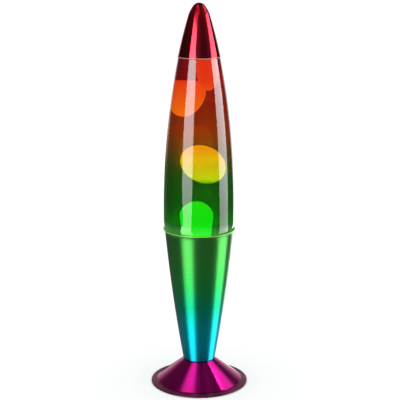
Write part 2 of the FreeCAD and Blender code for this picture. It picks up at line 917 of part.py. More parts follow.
def make_liquid_fill():
    """Clear liquid between the pool and the neck, hollow where the wax floats."""
    wall = d.glass_wall + d.fill_gap
    low = pool_top + d.fill_gap
    body = turned("liquid_body", [
        (AXIS, low),
        (taper_radius(low) - d.fill_gap, low),
        (d.seat_radius - wall, seat, seat_curve, 1),
        (d.bottle_radius - wall, belly_low),
        (d.bottle_radius - wall, bottle_belly, shoulder_curve, 1),
        (d.shoulder_radius - wall, shoulder),
        (d.bottle_bore - d.fill_gap, neck),
        (AXIS, neck),
    ])
    add_turning(body, "column_cavity", column_outline(d.wax_gap), "PartDesign::Groove",
                -d.column_shift)
    cavities = [shape(label + "_cavity", d.wax_gap) for label, shape in WAX_LUMPS.items()]
    return cut("liquid_fill", body, group("wax_cavities", cavities))


# Pointed cap

def make_top_cap():
    """Spun cap with a beaded mouth, which rests on the bottle's ledge and comes to a round point."""
    sheet = d.cap_sheet
    inner_tip = d.cap_tip_radius - sheet
    inner_tip_height = d.cap_tip_height - sheet * HALF
    return turned("top_cap", [
        (cap_mouth, cap_mouth_low),
        (d.shoulder_radius, cap_mouth_low, d.cap_bead * LIP_ROUNDING, 1),
        (d.shoulder_radius, cap_mouth_low + d.cap_bead, d.cap_side_curve, 1),
        (d.cap_nose_radius, cap_nose, d.cap_nose_curve, 1),
        (d.cap_tip_radius, cap_tip, crown_curve(d.cap_tip_radius, d.cap_tip_height), 1),
        (AXIS, cap_top),
        (AXIS, cap_top - sheet, crown_curve(inner_tip, inner_tip_height), -1),
        (inner_tip, cap_tip - sheet * HALF, d.cap_nose_curve - sheet, -1),
        (d.cap_nose_radius - sheet, cap_nose, d.cap_side_curve, -1),
        (cap_mouth, cap_mouth_low + d.cap_bead),
    ])


def make_subparts():
    """Every sub-part of the lamp, from the foot up."""
    return [
        make_foot_cone(),
        make_cord_grommet(),
        make_bottom_cover(),
        make_foot_pads(),
        make_waist_tube(),
        make_waist_nuts(),
        make_waist_washers(),
        make_upper_cone(),
        make_holder_cap(),
        make_holder_insert(),
        make_holder_skirt(),
        make_screw_shell(),
        make_centre_contact(),
        make_terminal_screws(),
        make_bulb_tip(),
        make_bulb_insulator(),
        make_bulb_cap(),
        make_bulb_glass(),
        make_bulb_stem(),
        make_bulb_leads(),
        make_bulb_filament(),
        make_globe_glass(),
        make_crown_liner(),
        make_crown_closure(),
        make_wax_pool(),
        make_heat_coil(),
        *make_wax_lumps(),
        make_liquid_fill(),
        make_top_cap(),
    ]


def check_document():
    """Stop if any object failed to build."""
    for item in doc.Objects:
        if "Invalid" in item.State or "Error" in item.State:
            raise RuntimeError(f"{item.Name} failed: {item.State}")


def check_shape(subpart):
    """Stop if a sub-part has no valid solid."""
    shape = subpart.Shape
    if shape.isNull() or not shape.isValid() or not shape.Solids:
        raise RuntimeError(f"{subpart.Label} has no valid solid")


def main():
    subparts = make_subparts()
    doc.recompute()
    check_document()
    for subpart in subparts:
        check_shape(subpart)
    os.makedirs("parts", exist_ok=True)
    for subpart in subparts:
        subpart.Shape.exportStep(os.path.join("parts", subpart.Label + ".step"))
        box = subpart.Shape.BoundBox
        print(f"{subpart.Label}: {len(subpart.Shape.Solids)} solids, {subpart.Shape.Volume:.1f} mm3,"
              f" z {box.ZMin:.2f} to {box.ZMax:.2f}, r {max(box.XMax, -box.XMin):.2f}")


main()
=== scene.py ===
import json
import math

import bpy
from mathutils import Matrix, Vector


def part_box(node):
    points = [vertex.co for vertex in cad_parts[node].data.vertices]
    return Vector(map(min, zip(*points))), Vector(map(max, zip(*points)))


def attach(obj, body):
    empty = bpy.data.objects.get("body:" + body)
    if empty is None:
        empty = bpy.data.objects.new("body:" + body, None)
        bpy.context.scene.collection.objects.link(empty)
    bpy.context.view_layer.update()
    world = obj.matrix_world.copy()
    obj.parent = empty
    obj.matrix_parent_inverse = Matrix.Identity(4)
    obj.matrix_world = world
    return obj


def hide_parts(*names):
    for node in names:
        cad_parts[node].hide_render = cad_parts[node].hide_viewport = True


# Looks of the liquid motion lamp, in metres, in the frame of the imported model.
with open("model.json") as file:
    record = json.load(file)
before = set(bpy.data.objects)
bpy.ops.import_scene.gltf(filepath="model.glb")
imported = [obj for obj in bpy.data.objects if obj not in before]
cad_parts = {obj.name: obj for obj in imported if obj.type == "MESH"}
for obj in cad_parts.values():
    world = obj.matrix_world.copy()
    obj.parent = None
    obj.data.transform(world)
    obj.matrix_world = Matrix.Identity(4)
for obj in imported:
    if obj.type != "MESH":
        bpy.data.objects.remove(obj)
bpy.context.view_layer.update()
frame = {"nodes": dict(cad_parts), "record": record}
bpy.ops.object.select_all(action="DESELECT")

MM = 0.001
BLACK = (0, 0, 0, 1)
WHITE = (1, 1, 1, 1)

# Heights that the colours follow
FOOT_LOW, FOOT_HIGH = (corner.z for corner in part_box("foot_cone"))
FOOT_CREASE = FOOT_LOW + 2.1 * MM
FOOT_FLANK = FOOT_LOW + 3.0 * MM
FOOT_MIDDLE = (FOOT_FLANK + FOOT_HIGH) / 2
CONE_LOW, CONE_HIGH = (corner.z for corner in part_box("upper_cone"))
CONE_SEAT = CONE_LOW + 0.7 * MM
CONE_FOOT = CONE_LOW + 0.9 * MM
CONE_MOUTH = CONE_HIGH - 1.2 * MM
CONE_LIP = CONE_HIGH - 1.0 * MM
GLOBE_LOW, GLOBE_HIGH = (corner.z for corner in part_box("globe_glass"))
LIQUID_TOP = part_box("liquid_fill")[1].z
CAP_LOW, CAP_HIGH = (corner.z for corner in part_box("top_cap"))
CAP_EDGE = CAP_LOW + 0.8 * MM
CAP_RIM = CAP_LOW + 0.9 * MM
CAP_SIDE = CAP_LOW + 1.0 * MM
CAP_SHOULDER = CAP_HIGH - 5.0 * MM
CAP_TIP = CAP_HIGH - 1.5 * MM


# Node trees

# Sockets of a Mix node that mixes colours
MIX_FACTOR, MIX_FIRST, MIX_SECOND, MIX_RESULT = 0, 6, 7, 2


class Socket:
    """One output of a node; arithmetic on it adds Math nodes to its tree."""

    def __init__(self, nodes, socket):
        self.nodes = nodes
        self.socket = socket

    def math(self, operation, first, second):
        return self.nodes.add("ShaderNodeMath", {"operation": operation}, {0: first, 1: second})

    def __add__(self, other):
        return self.math("ADD", self, other)

    def __radd__(self, other):
        return self.math("ADD", other, self)

    def __sub__(self, other):
        return self.math("SUBTRACT", self, other)

    def __rsub__(self, other):
        return self.math("SUBTRACT", other, self)

    def __mul__(self, other):
        return self.math("MULTIPLY", self, other)

    def __rmul__(self, other):
        return self.math("MULTIPLY", other, self)

    def __truediv__(self, other):
        return self.math("DIVIDE", self, other)

    def outputs(self):
        """Every output of the same node."""
        return [Socket(self.nodes, output) for output in self.socket.node.outputs]


class Nodes:
    """A node tree and the ways in which this lamp's finishes build it up."""

    def __init__(self, tree):
        self.tree = tree

    def add(self, kind, settings=None, inputs=None, output=0):
        """Add a node, set its settings, feed its sockets with values or links, and give an output."""
        node = self.tree.nodes.new(kind)
        for name, value in (settings or {}).items():
            if name == "stops":
                self.set_stops(node.color_ramp, value)
            else:
                setattr(node, name, value)
        for name, value in (inputs or {}).items():
            self.feed(node.inputs[name], value)
        return Socket(self, node.outputs[output])

    def feed(self, socket, value):
        """Link a socket, or set the value it holds."""
        if isinstance(value, Socket):
            self.tree.links.new(value.socket, socket)
        else:
            socket.default_value = value

    def set_stops(self, ramp, stops):
        """Give a colour ramp its stops: (place, colour) each."""
        while len(ramp.elements) < len(stops):
            ramp.elements.new(1.0)
        for element, (place, colour) in zip(ramp.elements, stops):
            element.position = place
            element.color = (*colour, 1.0)

    def place(self):
        return self.add("ShaderNodeTexCoord", output="Object")

    def parts(self, vector):
        """The three numbers of a vector."""
        return self.add("ShaderNodeSeparateXYZ", inputs={0: vector}).outputs()

    def ramp(self, value, stops):
        return self.add("ShaderNodeValToRGB", {"stops": stops}, {0: value})

    def ramp_up(self, stops):
        """Colours up the object: (height, colour) each."""
        low, high = stops[0][0], stops[-1][0]
        placed = [((height - low) / (high - low), colour) for height, colour in stops]
        height = self.parts(self.place())[2]
        return self.ramp((height - low) * (1 / (high - low)), placed)

    def noise(self, scale, detail=2.0):
        """Soft random mottling of the object, between 0 and 1."""
        return self.add("ShaderNodeTexNoise", inputs={
            "Vector": self.place(), "Scale": scale, "Detail": detail})

    def noise_along(self, run, scale, detail):
        """Random levels along one number, between 0 and 1."""
        return self.add("ShaderNodeTexNoise", {"noise_dimensions": "1D"},
                        {"W": run, "Scale": scale, "Detail": detail})

    def mix(self, factor, first, second, blend="MIX"):
        """A colour between two others, or the two blended."""
        return self.add("ShaderNodeMix", {"data_type": "RGBA", "blend_type": blend},
                        {MIX_FACTOR: factor, MIX_FIRST: first, MIX_SECOND: second}, MIX_RESULT)

    def tone(self, colour, level):
        """A colour made darker or paler by a level."""
        return self.mix(1.0, colour, level, "MULTIPLY")

    def smooth_step(self, value, low, high):
        """Rises softly from 0 at low to 1 at high."""
        return self.add("ShaderNodeMapRange", {"interpolation_type": "SMOOTHSTEP"},
                        {"Value": value, "From Min": low, "From Max": high})

    def band(self, value, low, high, soft):
        """1 between low and high, with soft edges."""
        return (self.smooth_step(value, low - soft, low + soft)
                * (1 - self.smooth_step(value, high - soft, high + soft)))


class Finish(Nodes):
    """A material of one Principled shader."""

    def __init__(self, name, **constants):
        self.material = bpy.data.materials.new(name)
        self.material.use_nodes = True
        super().__init__(self.material.node_tree)
        self.shader = self.tree.nodes["Principled BSDF"]
        for socket, value in constants.items():
            self.set(socket.replace("_", " "), value)

    def set(self, socket, value):
        self.feed(self.shader.inputs[socket], value)

    def bump(self, height, distance):
        self.set("Normal", self.add("ShaderNodeBump", inputs={"Height": height, "Distance": distance}))


# Finishes of the spun metal

BRUSHED_ROUND = 0.25
FINE_RINGS = 0.35 * MM
COARSE_RINGS = 1.8 * MM
RINGS_WANDER = 0.6 * MM
WANDER_SCALE = 40.0
RING_GLOSS = 0.12
RING_DEPTH = 0.01 * MM
# How much less metallic the rim is, so that painted highlight or painted shade shows there, and the
# softness of its edges
PAINTED_EDGE = 0.65
PAINTED_EDGE_SOFT = 0.1 * MM


def anodised(name, colours, roughness, anisotropy, contrast, rim, **constants):
    """Dyed, brushed aluminium whose colour runs up the piece, with fine rings from the spinning.

    The rim is a band between two heights made less metallic, so that the painted highlight or painted shade
    in its colours shows plainly.
    """
    finish = Finish(name, Anisotropic=anisotropy, Anisotropic_Rotation=BRUSHED_ROUND, **constants)
    across, along, up = finish.parts(finish.place())
    flat = finish.add("ShaderNodeCombineXYZ", inputs={0: across, 1: along})
    radius = finish.add("ShaderNodeVectorMath", {"operation": "LENGTH"}, {0: flat}, "Value")
    run = radius - up + finish.noise(WANDER_SCALE) * RINGS_WANDER
    fine = finish.noise_along(run, 1 / FINE_RINGS, detail=2.0)
    coarse = finish.noise_along(run, 1 / COARSE_RINGS, detail=3.0)
    lines = (fine + coarse) * 0.5
    uneven = lines - 0.5
    dull = finish.ramp_up([(height, (level, level, level)) for height, level in roughness])
    finish.set("Base Color", finish.tone(finish.ramp_up(colours), uneven * contrast + 1))
    finish.set("Roughness", uneven * RING_GLOSS + dull)
    # The rim's metal is dulled so that the painted highlight or painted shade in its colour shows
    finish.set("Metallic", 1 - finish.band(up, *rim, PAINTED_EDGE_SOFT) * PAINTED_EDGE)
    finish.bump(lines, contrast * RING_DEPTH)
    return finish.material


def foot_magenta():
    """Magenta foot with painted shade on its rim: a dark, less metallic band along the bottom edge."""
    colours = [
        # Painted shade: the rim and crease at the bottom edge are dark, for the shade that falls there
        (FOOT_LOW, (0.11, 0.004, 0.036)),
        (FOOT_CREASE, (0.12, 0.004, 0.040)),
        (FOOT_FLANK, (0.50, 0.006, 0.20)),
        (FOOT_MIDDLE, (0.56, 0.006, 0.25)),
        (FOOT_HIGH, (0.55, 0.006, 0.22)),
    ]
    roughness = [(FOOT_LOW, 0.36), (FOOT_CREASE, 0.36), (FOOT_FLANK, 0.17), (FOOT_HIGH, 0.17)]
    return anodised("foot_magenta", colours, roughness, anisotropy=0.85, contrast=0.06,
                    rim=(FOOT_LOW - MM, FOOT_CREASE), Coat_Weight=0.08, Specular_IOR_Level=0.3)


# Painted shade: the dark blue band at the bottom of the cone, for the shadow in the gap above the foot
SEAT_PAINTED_SHADE = (0.002, 0.02, 0.09)
# Painted highlight: the pale green band along the lip, for the bright line of light it catches
LIP_PAINTED_HIGHLIGHT = (0.55, 0.86, 0.25)


def cone_rainbow():
    """Cone that runs from blue to green, with painted shade at its seat and a painted highlight along its
    pale, less metallic lip.
    """
    colours = [
        (CONE_LOW, SEAT_PAINTED_SHADE),
        (CONE_SEAT, SEAT_PAINTED_SHADE),
        (CONE_FOOT, (0.005, 0.53, 0.70)),
        (52 * MM, (0.005, 0.52, 0.65)),
        (73 * MM, (0.005, 0.50, 0.49)),
        (94 * MM, (0.006, 0.46, 0.21)),
        (118 * MM, (0.030, 0.46, 0.09)),
        (145 * MM, (0.065, 0.44, 0.075)),
        (CONE_MOUTH, (0.075, 0.41, 0.075)),
        (CONE_LIP, LIP_PAINTED_HIGHLIGHT),
        (CONE_HIGH, LIP_PAINTED_HIGHLIGHT),
    ]
    roughness = [(CONE_LOW, 0.36), (CONE_HIGH, 0.36)]
    return anodised("cone_rainbow", colours, roughness, anisotropy=0.9, contrast=0.4,
                    rim=(CONE_LIP, CONE_HIGH + MM))


# Painted highlight: the pale pink band along the cap's bottom edge, for the bright line of light its bead
# catches
EDGE_PAINTED_HIGHLIGHT = (0.75, 0.36, 0.33)
TIP_RED = (0.20, 0.006, 0.012)


def cap_red():
    """Red cap with a painted highlight on its pale, less metallic edge, and a darker tip."""
    colours = [
        (CAP_LOW, EDGE_PAINTED_HIGHLIGHT),
        (CAP_EDGE, EDGE_PAINTED_HIGHLIGHT),
        (CAP_SIDE, (0.62, 0.034, 0.055)),
        (CAP_SHOULDER, (0.64, 0.018, 0.036)),
        (CAP_TIP, TIP_RED),
        (CAP_HIGH, TIP_RED),
    ]
    roughness = [(CAP_LOW, 0.07), (CAP_HIGH, 0.07)]
    return anodised("cap_red", colours, roughness, anisotropy=0.4, contrast=0.03,
                    rim=(CAP_LOW - MM, CAP_RIM))


# Finishes of the bottle and what is in it

GLASS_INDEX = 1.5
LIQUID_INDEX = 1.33
TINT = [
    (GLOBE_LOW, (0.03, 0.48, 0.06)),
    (186 * MM, (0.03, 0.48, 0.05)),
    (230 * MM, (0.15, 0.45, 0.02)),
    (250 * MM, (0.40, 0.38, 0.02)),
    (267 * MM, (0.66, 0.36, 0.02)),
    (283 * MM, (0.82, 0.29, 0.02)),
    (319 * MM, (0.75, 0.16, 0.05)),
    (340 * MM, (0.72, 0.06, 0.08)),
    (GLOBE_HIGH, (0.68, 0.03, 0.10)),
]
TINT_CLOUDS = 45.0
TINT_CLOUDING = 0.06
# Painted light: a green glow in the glass just above the cone, for the bulb's light shining up into it
GLASS_PAINTED_GLOW = [
    (177 * MM, (0.004, 0.15, 0.003)),
    (186 * MM, (0.002, 0.04, 0.001)),
    (205 * MM, (0.0, 0.0, 0.0)),
]


def tinted_glass(name, index, coat):
    """Bottle glass with a sprayed tint that runs from green to red up the bottle.

    The coated outside also has a painted glow just above the cone, for the bulb's light from below.
    """
    finish = Finish(name, Transmission_Weight=1.0, IOR=index, Roughness=0.0, Coat_Weight=coat, Coat_IOR=1.6)
    cloud = finish.noise(TINT_CLOUDS) * TINT_CLOUDING + (1 - TINT_CLOUDING)
    finish.set("Base Color", finish.tone(finish.ramp_up(TINT), cloud))
    if coat:
        finish.set("Emission Color", finish.ramp_up(GLASS_PAINTED_GLOW))
        finish.set("Emission Strength", 1.0)
    return finish.material


LIQUID_CLOUDS = 20.0


def clear_liquid():
    """Clear liquid, nearly unseen: the bends that it makes are in the wet glass."""
    finish = Finish("clear_liquid", Transmission_Weight=1.0, IOR=LIQUID_INDEX, Roughness=0.0, Alpha=0.03)
    finish.set("Base Color", finish.mix(finish.noise(LIQUID_CLOUDS), (0.97, 0.99, 0.97, 1), WHITE))
    return finish.material


# Painted light: the glow of the wax up the bottle, for the bulb's light shining through it and the tint
WAX_PAINTED_GLOW = [
    (GLOBE_LOW, (0.02, 0.58, 0.01)),
    (212 * MM, (0.02, 0.55, 0.01)),
    (222 * MM, (0.77, 0.60, 0.01)),
    (238 * MM, (0.72, 0.54, 0.012)),
    (250 * MM, (0.52, 0.47, 0.012)),
    (258 * MM, (0.51, 0.46, 0.012)),
    (263 * MM, (0.41, 0.36, 0.01)),
    (283 * MM, (0.45, 0.27, 0.01)),
    (300 * MM, (0.40, 0.24, 0.01)),
    (GLOBE_HIGH, (0.34, 0.19, 0.01)),
]
WAX_CLOUDS = 70.0
WAX_CLOUDING = 0.16
# Painted shade on the underside of the lumps: its dim glow colour, the upward parts of the normal between
# which it fades out, and the heights between which it does so too
UNDERSIDE_PAINTED_SHADE = (0.04, 0.16, 0.0, 1)
UNDERSIDE_FROM, UNDERSIDE_TO = -1.0, -0.6
UNDERSIDE_FADES, UNDERSIDE_ENDS = 262 * MM, 280 * MM


def glowing_wax():
    """Wax with a painted glow for the bulb's light shining through it from below, and painted shade on the
    darker, greener underside of the lower lumps.
    """
    finish = Finish("glowing_wax", Roughness=0.5, Emission_Strength=3.0, Specular_IOR_Level=0.2)
    cloud = finish.noise(WAX_CLOUDS, detail=3.0)
    finish.set("Base Color", finish.mix(cloud, (0.30, 0.22, 0.10, 1), (0.36, 0.28, 0.14, 1)))
    painted_glow = finish.tone(finish.ramp_up(WAX_PAINTED_GLOW), (cloud - 0.5) * WAX_CLOUDING + 1)
    facing = finish.parts(finish.add("ShaderNodeNewGeometry", output="Normal"))[2]
    height = finish.parts(finish.place())[2]
    # Painted shade: the underside of the lower lumps fades to a dim green
    painted_underside_shade = ((1 - finish.smooth_step(facing, UNDERSIDE_FROM, UNDERSIDE_TO))
             * (1 - finish.smooth_step(height, UNDERSIDE_FADES, UNDERSIDE_ENDS)))
    finish.set("Emission Color", finish.mix(painted_underside_shade, painted_glow, UNDERSIDE_PAINTED_SHADE))
    return finish.material


# Finishes of the inner works

METAL = {"Metallic": 1.0}
GLAZE = {"Coat_Weight": 0.5}
STEM = {"Transmission_Weight": 1.0, "IOR": GLASS_INDEX}
LIT_GLASS = {"Transmission_Weight": 0.6, "IOR": GLASS_INDEX,
             "Emission_Color": (1, 0.86, 0.62, 1), "Emission_Strength": 3.0}
# Slot: dark colour, pale colour, scale of the grain, least and greatest roughness, depth of the grain,
# constants
MOTTLED = {
    "plated_steel": ((0.52, 0.54, 0.56), (0.68, 0.69, 0.68), 500.0, 0.25, 0.4, 0.01 * MM, METAL),
    "crown_steel": ((0.60, 0.58, 0.53), (0.74, 0.72, 0.66), 400.0, 0.18, 0.3, 0.005 * MM, METAL),
    "seal": ((0.70, 0.70, 0.66), (0.80, 0.80, 0.76), 600.0, 0.4, 0.55, 0.01 * MM, {}),
    "holder_plastic": ((0.012, 0.012, 0.012), (0.03, 0.03, 0.03), 1800.0, 0.35, 0.5, 0.02 * MM, {}),
    "insert_ceramic": ((0.74, 0.72, 0.66), (0.82, 0.81, 0.76), 250.0, 0.12, 0.25, 0.01 * MM, GLAZE),
    "contact_brass": ((0.62, 0.42, 0.14), (0.78, 0.58, 0.24), 500.0, 0.2, 0.4, 0.01 * MM, METAL),
    "bulb_glass": ((0.80, 0.80, 0.78), (0.90, 0.90, 0.88), 900.0, 0.35, 0.5, 0.01 * MM, LIT_GLASS),
    "bulb_metal": ((0.66, 0.66, 0.65), (0.80, 0.80, 0.78), 700.0, 0.25, 0.4, 0.01 * MM, METAL),
    "bulb_black": ((0.008, 0.008, 0.009), (0.02, 0.02, 0.022), 700.0, 0.08, 0.2, 0.005 * MM, {}),
    "stem_glass": ((0.86, 0.90, 0.90), (0.93, 0.95, 0.95), 500.0, 0.02, 0.08, 0.002 * MM, STEM),
    "wire": ((0.40, 0.38, 0.36), (0.56, 0.54, 0.50), 1500.0, 0.3, 0.5, 0.01 * MM, METAL),
    "cover_plastic": ((0.010, 0.010, 0.011), (0.022, 0.022, 0.024), 1500.0, 0.5, 0.65, 0.03 * MM, {}),
    "soft_rubber": ((0.010, 0.010, 0.010), (0.024, 0.023, 0.022), 1200.0, 0.6, 0.8, 0.03 * MM, {}),
}


def mottled(name, dark, pale, scale, low, high, depth, constants):
    """A plain solid finish with small changes of colour, gloss and level."""
    finish = Finish(name, **constants)
    grain = finish.noise(scale, detail=4.0)
    finish.set("Base Color", finish.mix(grain, (*dark, 1), (*pale, 1)))
    finish.set("Roughness", grain * (high - low) + low)
    finish.bump(grain, depth)
    return finish.material


def make_finishes():
    """A finish for every material slot of the record."""
    made = {
        "foot_sheet": foot_magenta(),
        "cone_sheet": cone_rainbow(),
        "cap_sheet": cap_red(),
        "tinted_glass": tinted_glass("tinted_glass", GLASS_INDEX, coat=1.0),
        "clear_liquid": clear_liquid(),
        "glowing_wax": glowing_wax(),
    }
    for slot, row in MOTTLED.items():
        made[slot] = mottled(slot, *row)
    return made


finishes = make_finishes()


def dress_nodes():
    """Give every CAD node the finish of its slot."""
    for part in frame["record"]["subparts"]:
        mesh = frame["nodes"][part["node"]].data
        mesh.materials.clear()
        mesh.materials.append(finishes[part["material_slot"]])


# Parts of the normal from which a face counts as level, and as turned towards the axis
LEVEL = 0.9
INWARD = 0.05


def wet_the_wall():
    """Give the inner wall of the bottle, where the liquid touches it, the glass to liquid finish."""
    mesh = frame["nodes"]["globe_glass"].data
    mesh.materials.append(tinted_glass("wet_glass", GLASS_INDEX / LIQUID_INDEX, coat=0.0))
    for face in mesh.polygons:
        out = Vector((face.center.x, face.center.y, 0))
        wall = out.dot(face.normal) < -INWARD * out.length
        floor = face.normal.z > LEVEL and face.center.z < CONE_HIGH
        if (wall or floor) and face.center.z < LIQUID_TOP:
            face.material_index = 1


# Pieces that stand for plain CAD solids

def select_only(piece):
    bpy.ops.object.select_all(action="DESELECT")
    piece.select_set(True)
    bpy.context.view_layer.objects.active = piece


def edit(piece, kind="VERT"):
    """Open a piece for editing with everything selected."""
    select_only(piece)
    bpy.ops.object.mode_set(mode="EDIT")
    bpy.ops.mesh.select_mode(type=kind)
    bpy.ops.mesh.select_all(action="SELECT")


def leave_edit():
    bpy.ops.object.mode_set(mode="OBJECT")


def pick(piece, kind, wanted):
    """Open a piece for editing with only its wanted points, edges or faces selected."""
    edit(piece, kind)
    bpy.ops.mesh.select_all(action="DESELECT")
    leave_edit()
    mesh = piece.data
    for element in {"VERT": mesh.vertices, "EDGE": mesh.edges, "FACE": mesh.polygons}[kind]:
        element.select = wanted(element)
    bpy.ops.object.mode_set(mode="EDIT")


def settle(piece):
    """Put the place, turn and scale of a piece into its mesh."""
    select_only(piece)
    bpy.ops.object.transform_apply(location=True, rotation=True, scale=True)


def apply(piece, kind, **settings):
    """Add a modifier, set it and apply it."""
    select_only(piece)
    modifier = piece.modifiers.new(kind.lower(), kind)
    for name, value in settings.items():
        setattr(modifier, name, value)
    bpy.ops.object.modifier_apply(modifier=modifier.name)


def stand_for(piece, node, body, slot):
    """Let a finished piece stand for a CAD node, on its body and in its finish."""
    bpy.ops.object.shade_smooth()
    piece.name = node + "_shape"
    piece.data.materials.clear()
    piece.data.materials.append(finishes[slot])
    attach(piece, body)
    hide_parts(node)


MERGE = 0.01 * MM


def copy_of(node):
    """A copy of a CAD node, with its points merged, that can be reshaped."""
    piece = bpy.data.objects.new(node + "_shape", frame["nodes"][node].data.copy())
    bpy.context.scene.collection.objects.link(piece)
    edit(piece)
    bpy.ops.mesh.remove_doubles(threshold=MERGE)
    bpy.ops.mesh.normals_make_consistent(inside=False)
    leave_edit()
    bpy.ops.mesh.customdata_custom_splitnormals_clear()
    return piece


# Wax: node, body, and how far its skin swells in and out
WAX = [
    ("wax_pool", "globe", 0.4 * MM),
    ("wax_middle", "middle_lump", 1.6 * MM),
    ("wax_upper", "upper_lump", 1.0 * MM),
    ("wax_top", "top_lump", 0.8 * MM),
]
WAX_GRAIN = 0.8 * MM
SWELLINGS = 22 * MM
SMOOTHING = 0.5
SMOOTH_EDGES = 14
SMOOTH_SKIN = 6


def melt(node, body, swell):
    """Wax whose edges have run smooth and whose skin swells a little here and there."""
    lump = copy_of(node)
    clouds = bpy.data.textures.new(node + "_clouds", "CLOUDS")
    clouds.noise_scale = SWELLINGS
    apply(lump, "REMESH", mode="VOXEL", voxel_size=WAX_GRAIN)
    apply(lump, "SMOOTH", factor=SMOOTHING, iterations=SMOOTH_EDGES)
    apply(lump, "DISPLACE", texture=clouds, texture_coords="LOCAL", strength=swell, mid_level=0.5)
    apply(lump, "SMOOTH", factor=SMOOTHING, iterations=SMOOTH_SKIN)
    stand_for(lump, node, body, "glowing_wax")


FLUTES = 21
STEPS_A_FLUTE = 4
CROWN_SHEET = 0.35 * MM
CROWN_SWELL = 1.05 * MM
CROWN_ROUND = 1.2 * MM
CROWN_ROUND_STEPS = 3


def make_crown():
    """Steel closure with a fluted skirt."""
    low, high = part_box("crown_closure")
    middle = (low.z + high.z) / 2
    top_radius = high.x - CROWN_SWELL
    crest = high.x / top_radius
    steps = FLUTES * STEPS_A_FLUTE
    bpy.ops.mesh.primitive_cylinder_add(vertices=steps, radius=top_radius, depth=high.z - low.z,
                                        location=(0, 0, middle))
    crown = bpy.context.object
    settle(crown)

    def on_crest(vertex):
        step = round(math.atan2(vertex.co.y, vertex.co.x) / math.tau * steps) % STEPS_A_FLUTE
        return vertex.co.z < middle and step < STEPS_A_FLUTE / 2

    def on_top_edge(side):
        return all(crown.data.vertices[end].co.z > middle for end in side.vertices)

    def on_underside(face):
        return face.normal.z < -LEVEL

    pick(crown, "VERT", on_crest)
    bpy.ops.transform.resize(value=(crest, crest, 1), center_override=(0, 0, low.z))
    leave_edit()
    pick(crown, "FACE", on_underside)
    bpy.ops.mesh.delete(type="ONLY_FACE")
    leave_edit()
    pick(crown, "EDGE", on_top_edge)
    bpy.ops.mesh.bevel(offset=CROWN_ROUND, segments=CROWN_ROUND_STEPS)
    leave_edit()
    apply(crown, "SOLIDIFY", thickness=CROWN_SHEET, offset=-1.0)
    apply(crown, "SUBSURF", levels=1, render_levels=1)
    stand_for(crown, "crown_closure", "globe", "crown_steel")


WINDINGS = 64
STEPS_A_WINDING = 14
WIRE = 0.4 * MM
WIRE_SIDES = 8
COIL_SEAM = 0.15 * MM


def make_coil():
    """Steel wire wound into a spring and bent into a ring on the floor of the bottle."""
    low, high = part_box("heat_coil")
    middle = (low.z + high.z) / 2
    winding = (high.z - low.z) / 2 - WIRE
    ring = high.x - winding - WIRE
    bpy.ops.mesh.primitive_circle_add(vertices=WIRE_SIDES, radius=WIRE, location=(winding, 0, 0),
                                      rotation=(math.pi / 2, 0, 0))
    coil = bpy.context.object
    settle(coil)
    apply(coil, "SCREW", iterations=WINDINGS, steps=STEPS_A_WINDING, render_steps=STEPS_A_WINDING,
          screw_offset=math.tau * ring / WINDINGS)
    bpy.ops.curve.primitive_bezier_circle_add(radius=ring, location=(0, 0, middle))
    path = bpy.context.object
    coil.location.z = middle
    settle(coil)
    apply(coil, "CURVE", object=path, deform_axis="POS_Z")
    bpy.data.objects.remove(path)
    edit(coil)
    bpy.ops.mesh.remove_doubles(threshold=COIL_SEAM)
    bpy.ops.mesh.normals_make_consistent(inside=False)
    leave_edit()
    stand_for(coil, "heat_coil", "globe", "plated_steel")


# Stage

FLOOR_RADIUS = 14.0
FLOOR_SIDES = 64
FLOOR_CLOUDS = 2.0
FLOOR_LIFT = 0.12


def make_floor():
    """Wide pale floor, which metal and glass look past."""
    bpy.ops.mesh.primitive_circle_add(vertices=FLOOR_SIDES, radius=FLOOR_RADIUS, fill_type="NGON",
                                      location=(0, 0, 0))
    floor = bpy.context.object
    floor.name = "floor"
    floor.visible_glossy = False
    floor.visible_transmission = False
    finish = Finish("floor_paper", Roughness=0.9, Specular_IOR_Level=0.0, Emission_Strength=FLOOR_LIFT)
    cloud = finish.noise(FLOOR_CLOUDS)
    finish.set("Base Color", finish.mix(cloud, (0.93, 0.93, 0.93, 1), (0.95, 0.95, 0.95, 1)))
    seen = finish.add("ShaderNodeLightPath", output="Is Camera Ray")
    finish.set("Emission Color", finish.mix(seen, BLACK, WHITE))
    floor.data.materials.append(finish.material)


